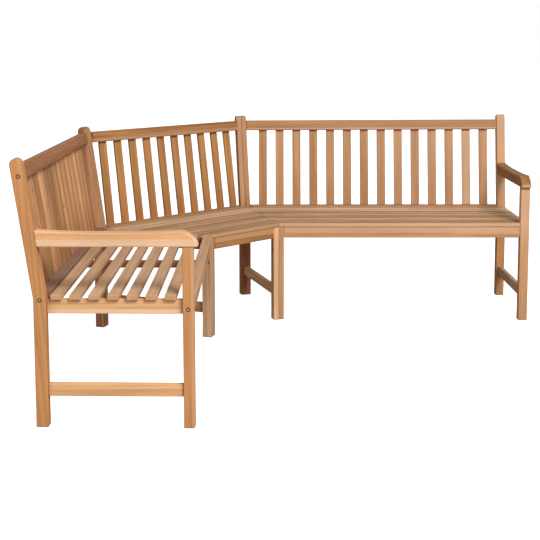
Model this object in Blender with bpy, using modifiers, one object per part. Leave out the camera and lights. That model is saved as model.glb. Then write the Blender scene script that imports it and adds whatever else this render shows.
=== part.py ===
# Corner garden bench: two straight wings and a slanted corner, of solid hardwood bars.
# Metres, +Z up. The plan starts at the outer back corner of the left end frame:
# +X runs forward from the left wing's back, +Y runs along the left wing to the corner.

import math

import bmesh
import bpy
from mathutils import Matrix, Vector

# Plan
wing_length = 1.293
corner_length = 0.894
frame_depth = 0.530
turn = math.radians(45)
wing_slant = math.radians(18)
joint_inset = 0.0236
joint_front_proud = 0.004

# Heights
post_height = 0.900
bend_height = 0.433
back_lean = 0.149
seat_height = 0.4485
arm_bottom = 0.609
stretcher_top = 0.148

# End frames
leg_width = 0.040
leg_depth = 0.042
front_leg_depth = 0.038
side_rail_width = 0.024
side_rail_height = 0.0475
side_rail_recess = 0.016
stretcher_width = 0.022
stretcher_height = 0.043

# Arms
arm_width = 0.044
arm_thickness = 0.047
arm_back_rise = 0.008
arm_front_rise = 0.005
arm_reach = 0.015
nose_length = 0.057
nose_drop = 0.046
nose_power = 1.5

# Frames at the two joints
half_post_width = 0.025
joint_post_depth = 0.041
bearer_width = 0.040
bearer_height = 0.0475

# Backs
top_rail_height = 0.048
top_rail_thickness = 0.036
top_rail_below_crown = 0.025
rear_rail_height = 0.0705
rear_rail_thickness = 0.051
rear_rail_inset = 0.001
rear_rail_above_seat = 0.007
back_slat_width = 0.041
back_slat_thickness = 0.012
back_slat_pitch = 0.0844
back_slat_end_gap = 0.015
back_slat_setback = 0.007
back_slat_tenon = 0.012

# Seats
seat_slat_width = 0.038
seat_slat_thickness = 0.017
seat_slat_pitch = 0.0628
seat_slat_start = 0.0562
seat_slat_end_inset = 0.005
nose_overhang = 0.001
apron_height = 0.0505
apron_thickness = 0.022
apron_setback = 0.003
middle_bearer_height = 0.0255
middle_bearer_width = 0.030

# Fits and rounded edges
gap = 0.0003
mitre_gap = 0.001
edge_round = 0.0025
post_round = 0.003
arm_round = 0.004
slat_round = 0.0018
crown_steps = 10
curve_steps = 10

# Worked out from the values above
corner_slant = turn - wing_slant
slat_bottom = seat_height - seat_slat_thickness
rear_rail_top = seat_height + rear_rail_above_seat
bearing_height = slat_bottom - gap
top_rail_top = post_height - top_rail_below_crown
back_centre = leg_depth / 2
joint_span = (
    frame_depth + joint_front_proud - joint_inset - joint_post_depth / 2 * math.cos(wing_slant)
) / math.cos(wing_slant)
apron_front = frame_depth - apron_setback
mitre_ratio = math.cos(corner_slant) / math.cos(wing_slant)

frame_wood = (0.630, 0.302, 0.130)
rail_wood = (0.565, 0.270, 0.118)
slat_wood = (0.520, 0.245, 0.112)
seat_wood = (0.600, 0.330, 0.170)
arm_wood = (0.690, 0.370, 0.180)


# Scene, collections and finishing

def clear_scene():
    for old in list(bpy.data.objects):
        bpy.data.objects.remove(old, do_unlink=True)


def new_collection(name):
    made = bpy.data.collections.new(name)
    bpy.context.scene.collection.children.link(made)
    return made


def wood(name, colour):
    made = bpy.data.materials.new(name + "_wood")
    made.use_nodes = True
    shader = made.node_tree.nodes["Principled BSDF"]
    shader.inputs["Base Color"].default_value = (*colour, 1)
    shader.inputs["Roughness"].default_value = 0.55
    shader.inputs["Metallic"].default_value = 0
    made.diffuse_color = (*colour, 1)
    return made


def add_piece(name, mesh, colour, rounding, place=None, home=None):
    made = bpy.data.objects.new(name, mesh)
    (home or bench).objects.link(made)
    mesh.materials.append(wood(name, colour))
    mesh.shade_smooth()
    mesh.set_sharp_from_angle(angle=math.radians(30))
    if place is not None:
        made.matrix_world = place
    made.parent = origin
    edges = made.modifiers.new("rounded_edges", "BEVEL")
    edges.width = rounding
    edges.segments = 2
    edges.limit_method = "ANGLE"
    edges.angle_limit = math.radians(35)
    return made


# Frame planes and the straight runs between them

class FramePlane:
    # The upright plane through the middle of a frame, as the run beside it sees it.
    def __init__(self, place, slant, half_width, slat_stop, inward):
        self.place = place
        self.slant = slant
        self.half_width = half_width
        self.slat_stop = slat_stop
        self.inward = inward

    def along(self, forward, clear):
        lean = math.tan(self.slant) * (forward - joint_inset)
        return self.place + self.inward * (lean + clear / math.cos(self.slant))


class Run:
    # One straight stretch of the bench: along its back line, and forward from it.
    def __init__(self, name, start, heading, turned, planes, depth_ratio):
        self.name = name
        self.start = Vector(start)
        self.heading = Vector((math.cos(heading), math.sin(heading), 0))
        self.front = Vector((math.cos(turned), math.sin(turned), 0))
        self.planes = planes
        self.depth_ratio = depth_ratio

    def at(self, along, forward, up):
        return self.start + self.heading * along + self.front * forward + Vector((0, 0, up))

    def depth(self, forward):
        # A depth in a wing, as the run that meets it at the mitre measures it.
        return joint_inset + (forward - joint_inset) * self.depth_ratio

    def lean(self):
        return math.atan(back_lean * self.depth_ratio)


def block(name, colour, rounding, corner_at, home=None):
    # A bar of six faces, whose corners corner_at places from the signs of a cube's corners.
    shape = bmesh.new()
    bmesh.ops.create_cube(shape, size=2)
    corners = [corner_at(*vertex.co) for vertex in shape.verts]
    centre = sum(corners, Vector()) / len(corners)
    for vertex, corner in zip(shape.verts, corners):
        vertex.co = corner - centre
    shape.normal_update()
    bmesh.ops.recalc_face_normals(shape, faces=shape.faces)
    mesh = bpy.data.meshes.new(name)
    shape.to_mesh(mesh)
    shape.free()
    return add_piece(name, mesh, colour, rounding, Matrix.Translation(centre), home)


def rail(name, run, forward, up, thickness, height, clears, colour, rounding, tilt=0.0):
    # A bar along the run, cut at each end to the frame plane there, less the clearance.
    def corner_at(end, side, level):
        across = side * thickness / 2
        rise = level * height / 2
        depth = forward + across * math.cos(tilt) - rise * math.sin(tilt)
        place = up + across * math.sin(tilt) + rise * math.cos(tilt)
        plane = 1 if end > 0 else 0
        return run.at(run.planes[plane].along(depth, clears[plane]), depth, place)

    return block(name, colour, rounding, corner_at)


def flat_mesh(name, outline, thickness):
    # A flat outline in X and Y, filled and given half its thickness each way.
    curve = bpy.data.curves.new(name + "_outline", "CURVE")
    curve.dimensions = "2D"
    curve.fill_mode = "BOTH"
    curve.extrude = thickness / 2
    line = curve.splines.new("POLY")
    line.points.add(len(outline) - 1)
    for point, (x, y) in zip(line.points, outline):
        point.co = (x, y, 0, 1)
    line.use_cyclic_u = True
    guide = bpy.data.objects.new(name + "_guide", curve)
    bpy.context.scene.collection.objects.link(guide)
    bpy.context.view_layer.update()
    evaluated = guide.evaluated_get(bpy.context.evaluated_depsgraph_get())
    mesh = bpy.data.meshes.new_from_object(evaluated)
    mesh.name = name
    bpy.data.objects.remove(guide, do_unlink=True)
    shape = bmesh.new()
    shape.from_mesh(mesh)
    bmesh.ops.remove_doubles(shape, verts=shape.verts, dist=0.00001)
    bmesh.ops.dissolve_limit(
        shape, angle_limit=math.radians(0.5), verts=shape.verts, edges=shape.edges
    )
    bmesh.ops.recalc_face_normals(shape, faces=shape.faces)
    shape.to_mesh(mesh)
    shape.free()
    return mesh


def upright_place(base, front):
    # The outline's X goes forward, its Y goes up, and its thickness lies across the frame.
    across = front.cross(Vector((0, 0, 1)))
    return Matrix(
        (
            (front.x, 0, across.x, base.x),
            (front.y, 0, across.y, base.y),
            (0, 1, 0, base.z),
            (0, 0, 0, 1),
        )
    )


# Posts and arms

def back_post_outline(depth, lean):
    # Upright to the bend, then leaning back, with a half-round top. X is 0 at its middle.
    half = depth / 2
    angle = math.atan(lean)
    radius = half * math.cos(angle)
    crown_height = post_height - radius
    crown_middle = -lean * (crown_height - bend_height)
    outline = [(-half, 0), (half, 0), (half, bend_height)]
    for step in range(crown_steps + 1):
        around = angle + math.pi * step / crown_steps
        outline.append(
            (crown_middle + radius * math.cos(around), crown_height + radius * math.sin(around))
        )
    outline.append((-half, bend_height))
    return outline


def arm_outline():
    # Forward from the back line: a scooped top that falls away in a rounded nose.
    front = frame_depth + arm_reach
    crest = front - nose_length
    crest_height = arm_bottom + arm_thickness + arm_front_rise
    back_height = arm_bottom + arm_thickness + arm_back_rise
    rear = leg_depth + gap - back_lean * (arm_bottom - bend_height)
    rear_top = leg_depth + gap - back_lean * (back_height - bend_height)
    outline = [(rear, arm_bottom), (front, arm_bottom)]
    for step in range(curve_steps + 1):
        around = math.pi / 2 * step / curve_steps
        reach = math.cos(around) ** (2 / nose_power)
        drop = 1 - math.sin(around) ** (2 / nose_power)
        outline.append((crest + nose_length * reach, crest_height - nose_drop * drop))
    for step in range(1, curve_steps + 1):
        share = step / curve_steps
        rise = arm_front_rise * (1 - share) - arm_back_rise * share
        height = arm_bottom + arm_thickness + abs(rise) * (2 * share - 1) ** 2
        outline.append((crest + (rear_top - crest) * share, height))
    return outline


def end_frame(side, run):
    # The frame that closes a wing: back post, front leg, arm, seat rail and stretcher.
    name = side + "_end_"
    middle = leg_width / 2
    front_centre = frame_depth - front_leg_depth / 2
    low = leg_depth + gap
    high = frame_depth - front_leg_depth - gap

    post = flat_mesh(name + "back_post", back_post_outline(leg_depth, back_lean), leg_width)
    add_piece(
        name + "back_post",
        post,
        frame_wood,
        post_round,
        upright_place(run.at(middle, leg_depth / 2, 0), run.front),
    )
    leg_top = arm_bottom - gap

    def leg_corner(across, deep, level):
        return run.at(
            middle + across * leg_width / 2,
            front_centre + deep * front_leg_depth / 2,
            leg_top * (level + 1) / 2,
        )

    block(name + "front_leg", frame_wood, post_round, leg_corner)
    arm = flat_mesh(name + "arm", arm_outline(), arm_width)
    add_piece(
        name + "arm", arm, arm_wood, arm_round, upright_place(run.at(middle, 0, 0), run.front)
    )

    def cross_bar(piece, centre, width, top, height):
        def corner_at(across, deep, level):
            return run.at(
                centre + across * width / 2,
                low if deep < 0 else high,
                top - height if level < 0 else top,
            )

        block(name + piece, rail_wood, edge_round, corner_at)

    rail_centre = side_rail_recess + side_rail_width / 2
    cross_bar("seat_rail", rail_centre, side_rail_width, bearing_height, side_rail_height)
    cross_bar("stretcher", middle, stretcher_width, stretcher_top, stretcher_height)


def joint_frame(side, base, front):
    # The slanted frame between a wing and the corner: its posts are pairs bolted together.
    name = side + "_joint_"
    across = front.cross(Vector((0, 0, 1)))
    lean = back_lean / math.cos(wing_slant)
    outline = back_post_outline(joint_post_depth, lean)
    for half, sign in (("left", 1), ("right", -1)):
        shift = across * sign * -(half_post_width / 2 + gap / 2)
        mesh = flat_mesh(name + "back_post_" + half, outline, half_post_width)
        add_piece(
            name + "back_post_" + half,
            mesh,
            frame_wood,
            post_round,
            upright_place(base + shift, front),
        )

        def leg_corner(wide, deep, level, shift=shift):
            return (
                base
                + shift
                + across * wide * half_post_width / 2
                + front * (joint_span + deep * joint_post_depth / 2)
                + Vector((0, 0, bearing_height * (level + 1) / 2))
            )

        block(name + "front_leg_" + half, frame_wood, edge_round, leg_corner)

    low = joint_post_depth / 2 + gap
    high = joint_span - joint_post_depth / 2 - gap

    def cross_bar(piece, width, top, height):
        def corner_at(wide, deep, level):
            reach = low if deep < 0 else high
            level_height = top - height if level < 0 else top
            return base + across * wide * width / 2 + front * reach + Vector((0, 0, level_height))

        block(name + piece, rail_wood, edge_round, corner_at)

    cross_bar("seat_bearer", bearer_width, bearing_height, bearer_height)
    cross_bar("stretcher", stretcher_width, stretcher_top, stretcher_height)


# Backs and seats

def back(run):
    # A top rail, and upright slats let into the rail that closes the seat's rear.
    name = run.name + "_back_"
    sides = [plane.half_width + gap for plane in run.planes]
    angle = run.lean()
    top_centre = top_rail_top - top_rail_height / 2
    centre = back_centre - math.tan(angle) * (top_centre - bend_height)
    rail(
        name + "top_rail",
        run,
        centre,
        top_centre,
        top_rail_thickness,
        top_rail_height,
        sides,
        rail_wood,
        edge_round,
        angle,
    )
    rear = rear_rail_inset + rear_rail_thickness / 2
    panel = rail(
        name + "panel",
        run,
        rear,
        rear_rail_top - rear_rail_height / 2,
        rear_rail_thickness,
        rear_rail_height,
        sides,
        slat_wood,
        edge_round,
    )

    first, last = (
        plane.along(rear, plane.half_width + gap) for plane in run.planes
    )
    room = last - first - back_slat_width - 2 * back_slat_end_gap
    spaces = max(0, math.floor(room / back_slat_pitch))
    middle = (first + last) / 2
    # Heights along the slope, from the bend up.
    slope_low = (rear_rail_top - bend_height - back_slat_tenon) / math.cos(angle)
    slope_high = (top_centre - bend_height) / math.cos(angle) - top_rail_height / 2 - gap
    set_back = back_slat_setback

    for count in range(spaces + 1):
        place = middle + (count - spaces / 2) * back_slat_pitch

        def corner_at(across, deep, level, place=place):
            out = deep * back_slat_thickness / 2 - set_back
            slope = slope_low if level < 0 else slope_high
            return run.at(
                place + across * back_slat_width / 2,
                back_centre + out * math.cos(angle) - slope * math.sin(angle),
                bend_height + out * math.sin(angle) + slope * math.cos(angle),
            )

        slat = block(
            name + "slat_" + str(count + 1), slat_wood, slat_round, corner_at, cutters
        )
        slat.modifiers["rounded_edges"].segments = 1
        slat.hide_render = True
        slat.display_type = "WIRE"
        union = panel.modifiers.new("slat_" + str(count + 1), "BOOLEAN")
        union.operation = "UNION"
        union.object = slat


def seat(run):
    # Slats laid along the run on the frames and a middle bearer, behind a front apron.
    name = run.name + "_seat_"
    sides = [plane.half_width + gap for plane in run.planes]
    front = run.depth(apron_front)
    rail(
        name + "front_apron",
        run,
        front - apron_thickness / 2,
        bearing_height - apron_height / 2,
        apron_thickness,
        apron_height,
        sides,
        rail_wood,
        edge_round,
    )

    bearer_back = rear_rail_inset + rear_rail_thickness + gap
    bearer_front = front - apron_thickness - gap
    middle = sum(plane.along(back_centre, plane.half_width) for plane in run.planes) / 2

    def bearer_corner(across, deep, level):
        return run.at(
            middle + across * middle_bearer_width / 2,
            bearer_back if deep < 0 else bearer_front,
            bearing_height - (middle_bearer_height if level < 0 else 0),
        )

    block(name + "middle_bearer", rail_wood, edge_round, bearer_corner)

    edges = []
    back_edge = seat_slat_start
    while back_edge + seat_slat_width < frame_depth - front_leg_depth:
        edges.append((back_edge, back_edge + seat_slat_width))
        back_edge += seat_slat_pitch
    nose_edge = frame_depth + nose_overhang
    edges.append((back_edge, nose_edge))
    for count, (low, high) in enumerate(edges, 1):
        at_nose = high == nose_edge
        stops = [plane.slat_stop[at_nose] for plane in run.planes]
        low, high = run.depth(low), run.depth(high)
        rail(
            name + "slat_" + str(count),
            run,
            (low + high) / 2,
            seat_height - seat_slat_thickness / 2,
            high - low,
            seat_slat_thickness,
            stops,
            seat_wood,
            slat_round,
        )


def build():
    # Each run starts where its back line meets its first frame plane.
    end_slats = (seat_slat_end_inset - leg_width / 2, leg_width / 2 + gap)
    joint_slats = (mitre_gap / 2, mitre_gap / 2)
    wing_heading = math.pi / 2
    corner_heading = wing_heading - turn
    far_heading = corner_heading - turn

    def heading(angle):
        return Vector((math.cos(angle), math.sin(angle), 0))

    quarter = math.pi / 2
    left_base = heading(wing_heading) * wing_length + heading(wing_heading - quarter) * joint_inset
    right_base = left_base + heading(corner_heading) * corner_length
    corner_start = left_base - heading(corner_heading - quarter) * joint_inset
    right_start = (
        right_base
        + heading(far_heading) * wing_length
        - heading(far_heading - quarter) * joint_inset
    )

    wing_planes = (
        FramePlane(leg_width / 2, 0, leg_width / 2, end_slats, 1),
        FramePlane(wing_length, wing_slant, half_post_width, joint_slats, -1),
    )
    corner_planes = (
        FramePlane(0, corner_slant, half_post_width, joint_slats, 1),
        FramePlane(corner_length, corner_slant, half_post_width, joint_slats, -1),
    )
    left = Run("left", (0, 0, 0), wing_heading, wing_heading - quarter, wing_planes, 1)
    corner = Run(
        "corner",
        corner_start,
        corner_heading,
        corner_heading - quarter,
        corner_planes,
        mitre_ratio,
    )
    right = Run(
        "right", right_start, far_heading + math.pi, far_heading - quarter, wing_planes, 1
    )

    end_frame("left", left)
    end_frame("right", right)
    joint_frame("left", left_base, heading(wing_heading - quarter - wing_slant))
    joint_frame("right", right_base, heading(far_heading - quarter + wing_slant))
    for run in (left, corner, right):
        back(run)
        seat(run)


def centre_on_floor():
    # Puts the middle of the bench's footprint over the world's origin.
    bpy.context.view_layer.update()
    graph = bpy.context.evaluated_depsgraph_get()
    points = []
    for piece in bench.objects:
        shown = piece.evaluated_get(graph)
        points += [shown.matrix_world @ vertex.co for vertex in shown.data.vertices]
    middle = [(min(p[axis] for p in points) + max(p[axis] for p in points)) / 2 for axis in (0, 1)]
    origin.location = (-middle[0], -middle[1], 0)
    bpy.context.view_layer.update()
    print("plan origin at", tuple(round(value, 5) for value in origin.location))


clear_scene()
bench = new_collection("corner_garden_bench")
cutters = new_collection("back_slats_joined_to_rails")
origin = bpy.data.objects.new("bench_origin", None)
bpy.context.scene.collection.objects.link(origin)
build()
centre_on_floor()
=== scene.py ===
import math

import bmesh
import bpy
from mathutils import Euler, Matrix, Vector


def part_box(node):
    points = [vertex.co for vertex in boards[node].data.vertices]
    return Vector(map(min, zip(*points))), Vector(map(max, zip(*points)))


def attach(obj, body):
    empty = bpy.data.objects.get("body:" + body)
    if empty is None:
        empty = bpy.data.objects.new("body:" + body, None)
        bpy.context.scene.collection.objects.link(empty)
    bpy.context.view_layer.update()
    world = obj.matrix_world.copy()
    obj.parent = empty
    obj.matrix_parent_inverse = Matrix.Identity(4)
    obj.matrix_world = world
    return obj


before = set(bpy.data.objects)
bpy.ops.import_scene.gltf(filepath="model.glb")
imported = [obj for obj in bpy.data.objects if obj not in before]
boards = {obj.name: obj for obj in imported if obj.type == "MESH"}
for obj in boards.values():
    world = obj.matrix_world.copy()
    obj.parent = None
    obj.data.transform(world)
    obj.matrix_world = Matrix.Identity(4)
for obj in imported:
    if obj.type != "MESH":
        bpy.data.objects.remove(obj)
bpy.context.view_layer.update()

# Corner garden bench in unpainted teak: each board gets its grain, and the bolts get their plugs.
up = Vector((0, 0, 1))
print("loaded", len(boards), "boards")

# Sizes of the bench in metres; a lean is a share of the height.
plan = {
    "frameDepth": 0.530,
    "frameSlant": 18,  # degrees between a joint frame and its wing's end frame
    "postLean": 0.075,  # of a bent back post, from foot to top
    "postTop": 0.25,  # its part that is straight, well above the bend
    "backLean": 0.149,
    "slatPitch": 0.0844,  # of the backs
    "slatTip": 0.01,  # the upper corners of a slat lie within it
    "rearRailHeight": 0.0705,
    "rearRailRise": 0.0078,  # of its level top, along the leaning slats
}

# The plan's corner is the outer back corner of the left end frame, on the floor.
legLow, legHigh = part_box("left_end_front_leg")
planCorner = Vector((legHigh.x - plan["frameDepth"], legLow.y, 0))


def planDirection(degrees):
    return Vector((math.cos(math.radians(degrees)), math.sin(math.radians(degrees)), 0))


# Camera

view = {
    "place": (0.7683, -3.4297, 1.2677),  # from the plan's corner, metres
    "down": 6.755,  # degrees
    "left": 2.521,
    "roll": -0.435,
    "lens": 71.87,
    "shift": (0.0928, -0.1853),
}


def makeCamera():
    data = bpy.data.cameras.new("photoView")
    data.lens = view["lens"]
    data.sensor_width = 36
    data.shift_x, data.shift_y = view["shift"]
    data.clip_end = 200
    camera = bpy.data.objects.new("photoView", data)
    bpy.context.scene.collection.objects.link(camera)
    turned = Euler((math.radians(90 - view["down"]), 0, math.radians(view["left"])))
    rolled = Matrix.Rotation(math.radians(view["roll"]), 4, "Z")
    place = Matrix.Translation(planCorner + Vector(view["place"]))
    camera.matrix_world = place @ turned.to_matrix().to_4x4() @ rolled
    bpy.context.scene.camera = camera


# Materials

mathNode, vectorNode, rangeNode = "ShaderNodeMath", "ShaderNodeVectorMath", "ShaderNodeMapRange"
mixNode, noiseNode, splitNode = "ShaderNodeMix", "ShaderNodeTexNoise", "ShaderNodeSeparateXYZ"
colourResult = 2  # the place of the colour among a mix node's outputs
noiseLow, noiseHigh = 0.3, 0.7  # most of a noise texture lies between them
wavePeriod = 314  # mm between the rings of a wave texture of scale 1


def linear(code):
    channels = [int(code[place:place + 2], 16) / 255 for place in (1, 3, 5)]
    return [c / 12.92 if c <= 0.04045 else ((c + 0.055) / 1.055) ** 2.4 for c in channels] + [1]


def addNode(tree, kind, links=None, **settings):
    # links: a socket's place or name, and a value, a socket or a node whose first output is used.
    node = tree.nodes.new(kind)
    for name, value in settings.items():
        setattr(node, name, value)
    for key, value in (links or {}).items():
        socket = node.inputs[key] if isinstance(key, int) else next(
            each for each in node.inputs if each.enabled and each.name == key)
        if isinstance(value, bpy.types.Node):
            value = next(each for each in value.outputs if each.enabled)
        if isinstance(value, bpy.types.NodeSocket):
            tree.links.new(value, socket)
        else:
            socket.default_value = value
    return node


def newMaterial(name):
    material = bpy.data.materials.new(name)
    material.use_nodes = True
    return material, material.node_tree, material.node_tree.nodes["Principled BSDF"]


# Unfinished teak, planed and sanded: a dry silky face with straight streaks, pores, pale sapwood.
teak = {
    "contrast": 0.38,  # between early and late wood
    "earlyShare": (0.8, 0.9, 1.0),  # of it, by which red, green and blue rise in early wood
    "lateShare": (1.0, 1.15, 1.3),  # and by which they fall in late wood
    "shares": (0.28, 0.42, 0.16, 0.14),  # of band, streak, ring and fibre in the figure
    "band": 26,  # broad streaks, mm
    "bandLength": 900,
    "streak": 8,
    "streakLength": 420,
    "fibre": 1.6,  # pores, drawn twice as wide as they are so that they show
    "fibreLength": 45,
    "ring": 8,  # growth rings, mm
    "ringWobble": 1.6,
    "pithDistance": 0.07,  # from the middle of the tree to the middle of a board, metres
    "pithTurn": 2.4,  # radians by which its direction changes from board to board
    "wander": 14,  # how far the grain bends out of line, mm
    "wanderLength": 600,
    "wanderAcross": 9,  # bends in a metre across the grain
    "sap": "#edc9a5",  # sapwood
    "sapBlend": 0.0015,  # half the width of its edge, metres
    "sapFigure": 0.5,  # how much of the figure shows in it
    "knots": 0.0,  # share of the places that could hold a knot
    "knotPlaces": (11, 17, 17),  # in a metre, along and across the grain
    "knotSize": (0.05, 0.13),  # its dark core and its edge, as shares of the way to the next place
    "knotShare": 0.85,
    "knotColour": "#5d3a22",
    "patches": (3.5, 12, 12),  # lighter and darker ones in a metre, along and across
    "patchTones": (0.93, 1.07),
    "endGrain": "#a4754d",
    "endShare": 0.6,
    "endReach": (0.004, 0.001),  # from a board's end, where its tone begins and where it is full
    "roughness": (0.52, 0.68),
    "specular": 0.3,  # dry wood, hardly any sheen
    "bump": 0.25,
    "bumpHeight": 0.0006,
    "ringRelief": 0.3,  # how much less the rings stand out than the pores
    # The slats of a back
    "slatJump": (3.0, 0.4, 0.4),  # how far apart they lie in the wood, metres
    "slatSpread": 0.1,  # how much they differ in tone
    "paleSlat": -1,  # the one that is mostly sapwood
    "paleShare": 0.4,
    "blush": "#c9987a",  # the pinker cast of some, and how strong it is at most
    "slatBlush": 0.25,
    "shadedFoot": "#8a5231",  # their lower ends, darker and redder: painted shade near the seat, and how far they go towards it
    "shadedFootShare": 0.15,
    "shadedFootReach": (-0.20, 0.06),  # from the panel's middle, where it is full and where it ends
    "rail": "#875f48",  # the rail under them, and how far its tone goes towards it
    "railShare": 0.0,
}


class Board:
    # A board's own axes: x along its grain, y across its face, z through its thickness.
    def __init__(self, node, along, out):
        self.node = node
        along = along.normalized()
        out = (out - along * out.dot(along)).normalized()
        self.axes = Matrix((along, out.cross(along), out)).transposed()
        self.points = [self.axes.transposed() @ vertex.co for vertex in boards[node].data.vertices]
        low = Vector([min(point[axis] for point in self.points) for axis in range(3)])
        high = Vector([max(point[axis] for point in self.points) for axis in range(3)])
        self.middle = (low + high) / 2
        self.half = (high - low) / 2
        # The front of a bent post, near its top.
        topPoints = [point for point in self.points if point.x > high.x - plan["postTop"]]
        self.topFront = min(point.y for point in topPoints) - self.middle.y


def addSlats(tree, look, local, parts, offset):
    # A slatted back is one board for each slat, and a rail whose grain runs across them.
    slats = look["slats"]
    number = addNode(tree, mathNode, {
        0: parts.outputs["Y"], 1: 1 / slats["pitch"], 2: slats["first"]
    }, operation="MULTIPLY_ADD")
    number = addNode(tree, mathNode, {0: number}, operation="FLOOR")
    jump = addNode(tree, "ShaderNodeTexWhiteNoise", {"Vector": offset, "W": number},
                   noise_dimensions="4D")
    slatPlace = addNode(tree, vectorNode, {
        0: jump.outputs["Color"], 1: look["slatJump"], 2: local
    }, operation="MULTIPLY_ADD")
    railPlace = addNode(tree, "ShaderNodeCombineXYZ", {
        "X": parts.outputs["Y"], "Y": parts.outputs["X"], "Z": parts.outputs["Z"]
    })
    onRail = addNode(tree, mathNode, {0: parts.outputs["X"], 1: slats["railTop"]},
                     operation="LESS_THAN")
    local = addNode(tree, mixNode, {"Factor": onRail, "A": slatPlace, "B": railPlace},
                    data_type="VECTOR")
    return local, number, jump.outputs["Value"], onRail


def bendGrain(tree, look, local, offset):
    # The grain runs along the board and wanders a little out of line.
    wander = look["wander"] / 1000
    drift = addNode(tree, vectorNode, {
        0: local, 1: (1000 / look["wanderLength"], look["wanderAcross"], look["wanderAcross"]),
        2: offset,
    }, operation="MULTIPLY_ADD")
    drift = addNode(tree, noiseNode, {"Vector": drift, "Scale": 1, "Detail": 1.5})
    bend = addNode(tree, vectorNode, {
        0: drift.outputs["Color"], 1: (0, wander, wander), 2: (0, -wander / 2, -wander / 2)
    }, operation="MULTIPLY_ADD")
    return addNode(tree, vectorNode, {0: local, 1: bend}, operation="ADD")


def addRings(tree, look, grain, seed):
    # Growth rings about the middle of the tree, which lies outside the board.
    angle = seed * look["pithTurn"]
    pith = Vector((0, math.cos(angle), math.sin(angle))) * look["pithDistance"]
    around = addNode(tree, vectorNode, {0: grain, 1: pith}, operation="ADD")
    return addNode(tree, "ShaderNodeTexWave", {
        "Vector": around, "Scale": wavePeriod / look["ring"], "Distortion": look["ringWobble"],
        "Detail": 2, "Detail Scale": 3,
    }, wave_type="RINGS", rings_direction="X", wave_profile="SAW")


def addStreaks(tree, look, grain, offset):
    # Streaks of two widths, and the pores.
    layers = []
    for name, detail in (("band", 1), ("streak", 2), ("fibre", 1)):
        length, width = look[name + "Length"], look[name]
        stretched = addNode(tree, vectorNode, {
            0: grain, 1: (1000 / length, 1000 / width, 1000 / width), 2: offset * (1 + width / 10)
        }, operation="MULTIPLY_ADD")
        layer = addNode(tree, noiseNode, {"Vector": stretched, "Scale": 1, "Detail": detail})
        layers.append(addNode(tree, rangeNode, {
            "Value": layer, "From Min": noiseLow, "From Max": noiseHigh
        }, interpolation_type="SMOOTHSTEP"))
    return layers


def addSapwoodAndPaintedLight(tree, look, grain, figure, early, colour):
    # A paler side of the board, with a line between: sapwood on most boards, but painted light and
    # shade on the nose slats and the joint posts.
    position = addNode(tree, vectorNode, {0: grain, 1: look["sapSide"]}, operation="DOT_PRODUCT")
    sapwood = addNode(tree, rangeNode, {
        "Value": position, "From Min": look["sapEdge"] - look["sapBlend"],
        "From Max": look["sapEdge"] + look["sapBlend"],
    }, interpolation_type="SMOOTHSTEP")
    faint = addNode(tree, mathNode, {0: figure, 1: look["sapFigure"]}, operation="MULTIPLY")
    pale = addNode(tree, mixNode, {
        "Factor": faint, "A": linear(look["sap"]), "B": early
    }, data_type="RGBA")
    return addNode(tree, mixNode, {"Factor": sapwood, "A": colour, "B": pale}, data_type="RGBA")


def addKnots(tree, look, grain, offset, colour):
    # A few small dark knots.
    cells = addNode(tree, vectorNode, {0: grain, 1: look["knotPlaces"], 2: offset},
                    operation="MULTIPLY_ADD")
    cells = addNode(tree, "ShaderNodeTexVoronoi", {"Vector": cells, "Scale": 1})
    chance = addNode(tree, splitNode, {0: cells.outputs["Color"]})
    chosen = addNode(tree, mathNode, {0: chance, 1: look["knots"]}, operation="LESS_THAN")
    core = addNode(tree, rangeNode, {
        "Value": cells.outputs["Distance"], "From Min": look["knotSize"][0],
        "From Max": look["knotSize"][1], "To Min": look["knotShare"], "To Max": 0.0,
    }, interpolation_type="SMOOTHSTEP")
    knot = addNode(tree, mathNode, {0: core, 1: chosen}, operation="MULTIPLY")
    return addNode(tree, mixNode, {
        "Factor": knot, "A": colour, "B": linear(look["knotColour"])
    }, data_type="RGBA")


def addSlatTones(tree, look, parts, slats, colour, shade):
    # Slats differ in tone and hue, their feet are darker and redder with painted shade near the
    # seat, and the rail has a tone of its own.
    number, chance, onRail = slats
    onSlat = addNode(tree, mathNode, {0: 1.0, 1: onRail}, operation="SUBTRACT")
    slatTone = addNode(tree, mathNode, {0: chance, 1: onSlat}, operation="MULTIPLY")
    spread = addNode(tree, mathNode, {
        0: slatTone, 1: look["slatSpread"], 2: 1 - look["slatSpread"] / 2
    }, operation="MULTIPLY_ADD")
    shade = addNode(tree, mathNode, {0: shade, 1: spread}, operation="MULTIPLY")
    pale = addNode(tree, mathNode, {0: number, 1: look["paleSlat"], 2: 0.5}, operation="COMPARE")
    pale = addNode(tree, mathNode, {0: pale, 1: onSlat}, operation="MULTIPLY")
    pale = addNode(tree, mathNode, {0: pale, 1: look["paleShare"]}, operation="MULTIPLY")
    pink = addNode(tree, mathNode, {0: chance, 1: look["slatBlush"]}, operation="MULTIPLY")
    # Painted shade: the lower ends of the slats, near the seat, go darker and redder.
    low = addNode(tree, rangeNode, {
        "Value": parts.outputs["X"], "From Min": look["shadedFootReach"][0],
        "From Max": look["shadedFootReach"][1], "To Min": look["shadedFootShare"], "To Max": 0.0,
    }, interpolation_type="SMOOTHSTEP")
    under = addNode(tree, mathNode, {0: onRail, 1: look["railShare"]}, operation="MULTIPLY")
    for share, tint in ((pale, "sap"), (pink, "blush"), (low, "shadedFoot"), (under, "rail")):
        colour = addNode(tree, mixNode, {
            "Factor": share, "A": colour, "B": linear(look[tint])
        }, data_type="RGBA")
    return colour, shade


def addEndGrain(tree, look, board, parts, colour):
    distance = addNode(tree, mathNode, {0: parts.outputs["X"]}, operation="ABSOLUTE")
    ends = addNode(tree, rangeNode, {
        "Value": distance, "From Min": board.half.x - look["endReach"][0],
        "From Max": board.half.x - look["endReach"][1], "To Max": look["endShare"],
    })
    return addNode(tree, mixNode, {
        "Factor": ends, "A": colour, "B": linear(look["endGrain"])
    }, data_type="RGBA")


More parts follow.
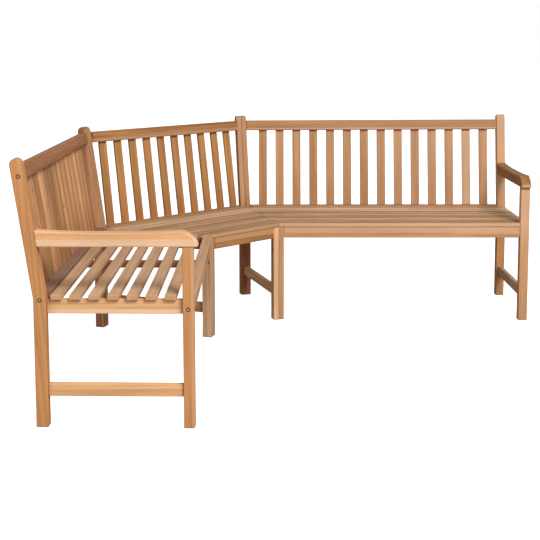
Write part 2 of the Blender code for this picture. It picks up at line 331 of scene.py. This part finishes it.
def teakMaterial(board, look, seed):
    look = {**teak, **look}
    material, tree, shader = newMaterial("sandedTeak_" + board.node)
    # Every board is cut from another place in the wood; the odd factors keep them apart.
    offset = Vector((seed * 3.71 % 17, seed * 5.13 % 19, seed * 7.37 % 23))
    place = addNode(tree, "ShaderNodeTexCoord").outputs["Object"]
    local = addNode(tree, "ShaderNodeMapping", {
        "Vector": place, "Location": board.axes @ board.middle,
        "Rotation": board.axes.to_euler("XYZ"),
    }, vector_type="TEXTURE")
    parts = addNode(tree, splitNode, {0: local})
    if "slats" in look:
        local, *slats = addSlats(tree, look, local, parts, offset)

    grain = bendGrain(tree, look, local, offset)
    rings = addRings(tree, look, grain, seed)
    bands, streaks, fibres = addStreaks(tree, look, grain, offset)
    figure = 0.0
    for layer, share in zip((bands, streaks, rings, fibres), look["shares"]):
        figure = addNode(tree, mathNode, {0: layer, 1: share, 2: figure}, operation="MULTIPLY_ADD")
    tone = linear(look["tone"])
    early = [c * (1 + share * look["contrast"]) for c, share in zip(tone, look["earlyShare"])] + [1]
    late = [c * (1 - share * look["contrast"]) for c, share in zip(tone, look["lateShare"])] + [1]
    colour = addNode(tree, mixNode, {"Factor": figure, "A": early, "B": late}, data_type="RGBA")

    if "frontSap" in look:
        look.update(sapSide=(0, -1, 0), sapEdge=-board.topFront - look["frontSap"])
    if "sapEdge" in look:
        colour = addSapwoodAndPaintedLight(tree, look, grain, figure, early, colour)
    if look["knots"]:
        colour = addKnots(tree, look, grain, offset, colour)

    # Broad patches, slats that differ from each other, and the end grain.
    patches = addNode(tree, vectorNode, {0: local, 1: look["patches"], 2: offset * 1.7},
                      operation="MULTIPLY_ADD")
    patches = addNode(tree, noiseNode, {"Vector": patches, "Scale": 1, "Detail": 1})
    shade = addNode(tree, rangeNode, {
        "Value": patches, "From Min": noiseLow, "From Max": noiseHigh,
        "To Min": look["patchTones"][0], "To Max": look["patchTones"][1],
    })
    if "slats" in look:
        colour, shade = addSlatTones(tree, look, parts, slats, colour, shade)
    colour = addNode(tree, vectorNode, {0: colour, "Scale": shade}, operation="SCALE")
    colour = addEndGrain(tree, look, board, parts, colour)
    tree.links.new(colour.outputs[colourResult], shader.inputs["Base Color"])

    rough = addNode(tree, rangeNode, {
        "Value": fibres, "To Min": look["roughness"][0], "To Max": look["roughness"][1]
    })
    tree.links.new(rough.outputs[0], shader.inputs["Roughness"])
    shader.inputs["Specular IOR Level"].default_value = look["specular"]
    height = addNode(tree, mathNode, {0: rings, 1: look["ringRelief"], 2: fibres},
                     operation="MULTIPLY_ADD")
    bump = addNode(tree, "ShaderNodeBump", {
        "Height": height, "Strength": look["bump"], "Distance": look["bumpHeight"]
    })
    tree.links.new(bump.outputs[0], shader.inputs["Normal"])
    return material


# Which way each board's grain runs, and its own tones

headings = {"left": 90, "corner": 45, "right": 0}  # along each seat, degrees
frameTurns = {  # the way each frame faces
    "left_end": 0, "right_end": -90,
    "left_joint": -plan["frameSlant"], "right_joint": plan["frameSlant"] - 90,
}


def frameFront(node):
    return planDirection(frameTurns["_".join(node.split("_")[:2])])


def boardOf(node):
    side, kind, piece = node.split("_", 2)
    if kind in ("end", "joint"):
        front = frameFront(node)
        if "post" in piece:
            return Board(node, up - front * plan["postLean"], front.cross(up))
        if "leg" in piece:
            return Board(node, up, front.cross(up))
        return Board(node, front, front.cross(up))
    heading = planDirection(headings[side])
    front = planDirection(headings[side] - 90)
    if piece == "middle_bearer":
        return Board(node, front, up)
    if piece == "top_rail":
        return Board(node, heading, front + up * plan["backLean"])
    if piece == "panel":
        return Board(node, up - front * plan["backLean"], front)
    if piece == "front_apron":
        return Board(node, heading, front)
    return Board(node, heading, up)


# Each timber is the middle tone of a board; no two boards of the real bench match. Some dark ones
# also carry painted shade, as marked below.
timbers = {
    "gold": "#cb915c",
    "honey": "#dba778",
    "wheat": "#e3b07e",
    "blush": "#edbc92",
    "petal": "#cba17b",
    "shell": "#d4af8d",
    "oat": "#eab582",
    "sand": "#cd9a6e",
    "rose": "#c9a17d",
    "tan": "#c79d76",
    "nut": "#b48b63",
    "biscuit": "#b98b5f",
    "bronze": "#b9854f",
    "russet": "#b3845a",
    "chestnut": "#a4704c",
    "copper": "#ab784b",
    "mahogany": "#ab7048",
    "cocoa": "#a07247",
    "umber": "#976043",
    "olive": "#bb8f64",
    "fawn": "#bc8a5b",
}
lower = {"sapSide": (0, -1, 0), "wander": 8}  # sapwood along the lower edge
upper = {"sapSide": (0, 1, 0)}
# The nose slats' front edge paler: a painted highlight on the rounded nose, put in as a sapwood
# edge.
noseHighlight = {"sapSide": (0, -1, 0), "sapEdge": 0.0165, "sap": "#e3b68e", "wander": 3}
upperHalf = {"sapSide": (1, 0, 0), "sapEdge": 0.02, "sapBlend": 0.1}  # paler towards the top

# A board takes the first look whose name is part of its own name.
choices = {
    "left_end_arm": {
        "timber": "oat", "contrast": 0.28, **lower, "sapEdge": 0.002, "sap": "#dfbd9f"
    },
    "left_end_seat_rail": {
        "timber": "wheat", "contrast": 0.3, **lower, "sapEdge": 0.009, "sap": "#e8c2a0"
    },
    "left_end_front_leg": {
        "timber": "gold", "contrast": 0.28, **lower, "sapEdge": 0.008, "sap": "#d2a077"
    },
    "left_end_stretcher": {"timber": "oat", "contrast": 0.28},
    "left_end_back_post": {"timber": "gold", "contrast": 0.24},
    "right_end_arm": {"timber": "cocoa", "endGrain": "#d2a26c", "endShare": 0.8},
    "right_end_back_post": {"timber": "gold", **upperHalf, "sap": "#cba380", "contrast": 0.2},
    "right_end_front_leg": {
        "timber": "sand", "contrast": 0.2, **upperHalf, "sapEdge": 0.09, "sapBlend": 0.07,
        "sap": "#dbae8a",
    },
    "right_end_stretcher": {"timber": "rose"},
    # The front face paler and the side faces dark umber: painted light on the front and painted
    # shade on the sides, which lie in the recess beside the back slats. The knots are its own.
    "left_joint_back_post_right": {
        "timber": "umber", "frontSap": 0.004, "sapBlend": 0.001, "sap": "#ba8b60",
        "knots": 0.3, "wander": 3,
    },
    "left_joint_back_post_left": {"timber": "olive"},
    "left_joint_front_leg_right": {"timber": "rose"},
    "left_joint_front_leg_left": {"timber": "sand"},
    "right_joint_front_leg_right": {"timber": "blush", "contrast": 0.25},
    "right_joint_front_leg_left": {"timber": "honey"},
    # Dark timber below and a paler upper part on the right joint posts: painted shade of the seat
    # on the post below it.
    "right_joint_back_post_right": {"timber": "mahogany", **upperHalf, "sap": "#c39a74"},
    "right_joint_back_post_left": {"timber": "mahogany", **upperHalf, "sap": "#b98d65"},
    # Copper, darker than the other stretchers: painted shade under the seat.
    "left_joint_stretcher": {"timber": "copper"},
    "right_joint_stretcher": {"timber": "wheat"},
    "right_back_top_rail": {
        "timber": "russet", "contrast": 0.28, **lower, "sapEdge": 0.015, "sap": "#cf9f7f"
    },
    "corner_back_top_rail": {
        "timber": "copper", "contrast": 0.5, **lower, "wander": 20, "sapEdge": 0.010,
        "sap": "#b38a64",
    },
    "left_back_top_rail": {"timber": "chestnut"},
    # The left back: its slats' lower ends go darker and redder, painted shade near the seat.
    "left_back_panel": {
        "timber": "fawn", "knots": 0.9, "contrast": 0.6, "slatSpread": 0.6,
        "shares": (0.42, 0.3, 0.18, 0.1), "shadedFoot": "#7d4626", "shadedFootShare": 0.55,
        "rail": "#ab8268", "railShare": 0.85,
    },
    # The corner back: its slats' lower ends go darker and redder, painted shade near the seat.
    "corner_back_panel": {
        "timber": "bronze", "slatSpread": 0.08, "slatBlush": 0.0, "shadedFoot": "#9a5628",
        "shadedFootShare": 0.5, "rail": "#b79368", "railShare": 0.6,
    },
    "right_back_panel": {"timber": "biscuit", "paleSlat": 1},
    "left_seat_front_apron": {"timber": "honey"},
    "right_seat_front_apron": {
        "timber": "sand", **upper, "sapEdge": -0.002, "sap": "#d2a687"
    },
    "corner_seat_front_apron": {
        "timber": "copper", **upper, "sapEdge": -0.003, "sap": "#cf9b6c", "wander": 24
    },
    "left_seat_slat_8": {"timber": "petal", **noseHighlight, "endGrain": "#c79c70"},
    "seat_slat_8": {"timber": "nut", **noseHighlight},
    "left_seat_slat": {"timber": "petal", "contrast": 0.24, "endGrain": "#c79c70"},
    "seat_slat_1": {"timber": "shell"},
    "seat_slat_2": {"timber": "shell"},
    "seat_slat_4": {"timber": "tan"},
    "seat_slat_6": {"timber": "rose"},
    "seat_slat": {"timber": "nut"},
    # Dark umber bearers: painted shade under the seat slats.
    "bearer": {"timber": "umber"},
    "": {"timber": "tan"},  # any other board
}


def slatGrid(board):
    # Where the slats of a back stand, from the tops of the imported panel's own slats.
    top = max(point.x for point in board.points)
    across = sorted(point.y for point in board.points if point.x > top - plan["slatTip"])
    step = next(place for place in across if place > across[0] + plan["slatPitch"] / 2)
    last = max(place for place in across if place < step)
    middle = (across[0] + last) / 2 - board.middle.y
    railTop = min(point.x for point in board.points) - board.middle.x
    railTop += plan["rearRailHeight"] + plan["rearRailRise"]
    pitch = plan["slatPitch"]
    return {"pitch": pitch, "first": 0.5 - middle / pitch, "railTop": railTop}


def finishBoards():
    for seed, node in enumerate(sorted(boards), 1):
        look = dict(next(choice for key, choice in choices.items() if key in node))
        look["tone"] = timbers[look["timber"]]
        board = boardOf(node)
        if "panel" in node:
            look["slats"] = slatGrid(board)
            look["endShare"] = 0.0  # its ends are hidden in the rail
        material = teakMaterial(board, look, seed)
        for slot in boards[node].material_slots:
            slot.material = material
    print("finished the boards")


# Plugs over the bolts

plug = {
    "radius": 0.0042,
    "proud": 0.0010,
    "rounding": 0.0006,
    "sunk": 0.002,  # how far the plug and its shade ring reach into the board
    "sides": 32,
    "tone": "#c79a72",
    "speckle": 900,  # specks in a metre
    "speckleTone": 0.6,  # against the tone around it
    "roughness": 0.6,
}
# The dark ring round each plug: painted shade of the gap between plug and board.
gapShadeRing = {
    "width": 0.0032,
    "proud": 0.0004,
    "rounding": 0.0002,
    "tone": "#35210f",
    "speckle": 500,
    "speckleTone": 2,
    "roughness": 0.7,
}

# The boards with a bolt, how far it lies behind the front of its frame, and its height.
boltPlaces = (
    ("end_back_post", 0.567, 0.841),
    ("end_back_post", 0.508, 0.432),
    ("end_front_leg", 0.0195, 0.402),
    ("joint_back_post", 0.582, 0.695),
    ("joint_front_leg", 0.013, 0.330),
)


def speckledMaterial(name, look):
    # Teak plug, cut across the grain: a matt disc with a fine speckle.
    # Ring round a plug: painted shade of the gap round it, a thin dull ring with coarser, faintly
    # lighter specks.
    material, tree, shader = newMaterial(name)
    place = addNode(tree, "ShaderNodeTexCoord").outputs["Object"]
    speckle = addNode(tree, noiseNode, {"Vector": place, "Scale": look["speckle"], "Detail": 2})
    tone = linear(look["tone"])
    speck = [channel * look["speckleTone"] for channel in tone[:3]] + [1]
    colour = addNode(tree, mixNode, {"Factor": speckle, "A": tone, "B": speck}, data_type="RGBA")
    tree.links.new(colour.outputs[colourResult], shader.inputs["Base Color"])
    shader.inputs["Roughness"].default_value = look["roughness"]
    return material


def makeDisc(name, radius, look, place, out, material):
    # A short round peg, its rim rounded, its back sunk into the board.
    shape = bmesh.new()
    bmesh.ops.create_circle(shape, cap_ends=True, radius=radius, segments=plug["sides"])
    raised = bmesh.ops.extrude_face_region(shape, geom=shape.faces[:])
    top = [each for each in raised["geom"] if isinstance(each, bmesh.types.BMVert)]
    bmesh.ops.translate(shape, verts=top, vec=(0, 0, look["proud"] + plug["sunk"]))
    rim = [edge for edge in shape.edges if all(vertex in top for vertex in edge.verts)]
    bmesh.ops.bevel(shape, geom=rim, offset=look["rounding"], segments=3, profile=0.5,
                    affect="EDGES", material=-1)
    bmesh.ops.recalc_face_normals(shape, faces=shape.faces)
    turn = out.to_track_quat("Z", "Y").to_matrix().to_4x4()
    shape.transform(Matrix.Translation(place - out * plug["sunk"]) @ turn)
    mesh = bpy.data.meshes.new(name)
    shape.to_mesh(mesh)
    shape.free()
    mesh.materials.append(material)
    piece = bpy.data.objects.new(name, mesh)
    bpy.context.scene.collection.objects.link(piece)
    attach(piece, "root")


def makePlugs():
    wood = speckledMaterial("endGrainTeakPlug", plug)
    gapShade = speckledMaterial("paintedGapShadeRing", gapShadeRing)
    gapShadeRadius = plug["radius"] + gapShadeRing["width"]
    bolts = [(node, *place) for node in sorted(boards) for key, *place in boltPlaces if key in node]
    for count, (node, behind, height) in enumerate(bolts, 1):
        board = boardOf(node)
        leg = boardOf(node.replace("back_post", "front_leg"))
        front = frameFront(node)
        # Standing behind the bench, the right half of the left joint frame is the outer one.
        outwards = 1 if node.startswith("left_end") or node.endswith("_right") else -1
        out = board.axes.col[2] * outwards
        spot = board.axes @ board.middle + out * board.half.z
        frontPlane = leg.half.y - leg.middle.y  # a leg's own y axis points to the back
        spot += front * (frontPlane - behind - spot.dot(front))
        spot.z = height
        makeDisc(f"plug_gap_shade_{count}", gapShadeRadius, gapShadeRing, spot, out, gapShade)
        makeDisc(f"plug_{count}", plug["radius"], plug, spot, out, wood)
    print("made", len(bolts), "plugs")


# Floor, backdrop and light

studio = {
    "floor": "#f4f4f4",
    "floorBounce": "#84766a",  # what it throws back at the bench
    "floorSize": 60,  # half its width, metres
    "floorDrop": 0.0005,  # under the feet
    "floorGlow": (0.86, 1.0),  # near the bench and far away
    "glowFrom": (2.5, 5.0),  # metres from the middle
    "around": 0.17,  # light from the walls in front and at the sides
    "behind": 0.45,  # what the wall behind the bench adds
    "aim": (0, 0, 0.4),
    "lamps": {
        "keyLamp": {"power": 345, "size": 2.2, "place": (2.2, -4.4, 4.5)},
        "leftLamp": {"power": 107, "size": 3.0, "place": (-4.5, -3.5, 1.8)},
        "rightLamp": {"power": 50, "size": 3.0, "place": (4.5, -3.5, 1.8)},
    },
}


def paperMaterial():
    # White studio paper, matt: an even pale ground that keeps the bench's shadow.
    material, tree, shader = newMaterial("matteWhitePaper")
    shader.inputs["Roughness"].default_value = 1
    shader.inputs["Specular IOR Level"].default_value = 0
    ray = addNode(tree, "ShaderNodeLightPath").outputs["Is Camera Ray"]
    paper = addNode(tree, mixNode, {
        "Factor": ray, "A": linear(studio["floorBounce"]), "B": linear(studio["floor"])
    }, data_type="RGBA")
    tree.links.new(paper.outputs[colourResult], shader.inputs["Base Color"])
    place = addNode(tree, "ShaderNodeTexCoord").outputs["Object"]
    away = addNode(tree, vectorNode, {0: place}, operation="LENGTH")
    glow = addNode(tree, rangeNode, {
        "Value": away, "From Min": studio["glowFrom"][0], "From Max": studio["glowFrom"][1],
        "To Min": studio["floorGlow"][0], "To Max": studio["floorGlow"][1],
    })
    glow = addNode(tree, mathNode, {0: ray, 1: glow}, operation="MULTIPLY")
    shader.inputs["Emission Color"].default_value = (1, 1, 1, 1)
    tree.links.new(glow.outputs[0], shader.inputs["Emission Strength"])
    return material


def makeFloor():
    shape = bmesh.new()
    bmesh.ops.create_grid(shape, x_segments=1, y_segments=1, size=studio["floorSize"])
    mesh = bpy.data.meshes.new("studioFloor")
    shape.to_mesh(mesh)
    shape.free()
    mesh.materials.append(paperMaterial())
    floor = bpy.data.objects.new("studioFloor", mesh)
    floor.location.z = -studio["floorDrop"]
    bpy.context.scene.collection.objects.link(floor)


def makeWalls():
    world = bpy.data.worlds.new("studioWalls")
    bpy.context.scene.world = world
    world.use_nodes = True
    walls = world.node_tree
    background = walls.nodes["Background"]
    background.inputs["Color"].default_value = (1, 1, 1, 1)
    ray = addNode(walls, "ShaderNodeLightPath").outputs["Is Camera Ray"]
    direction = addNode(walls, "ShaderNodeTexCoord").outputs["Generated"]
    direction = addNode(walls, splitNode, {0: direction})
    soft = addNode(walls, rangeNode, {
        "Value": direction.outputs["Y"], "To Min": studio["around"],
        "To Max": studio["around"] + studio["behind"],
    })
    level = addNode(walls, rangeNode, {"Value": ray, "To Min": soft, "To Max": 1.0})
    walls.links.new(level.outputs[0], background.inputs["Strength"])


def makeLamps():
    for name, look in studio["lamps"].items():
        lamp = bpy.data.lights.new(name, "AREA")
        lamp.energy = look["power"]
        lamp.size = look["size"]
        holder = bpy.data.objects.new(name, lamp)
        bpy.context.scene.collection.objects.link(holder)
        aim = Vector(studio["aim"]) - Vector(look["place"])
        turn = aim.to_track_quat("-Z", "Y").to_matrix().to_4x4()
        holder.matrix_world = Matrix.Translation(look["place"]) @ turn


makeCamera()
makeFloor()
makeWalls()
makeLamps()
print("set up the studio")
finishBoards()
makePlugs()

bpy.context.scene.view_settings.view_transform = "Standard"
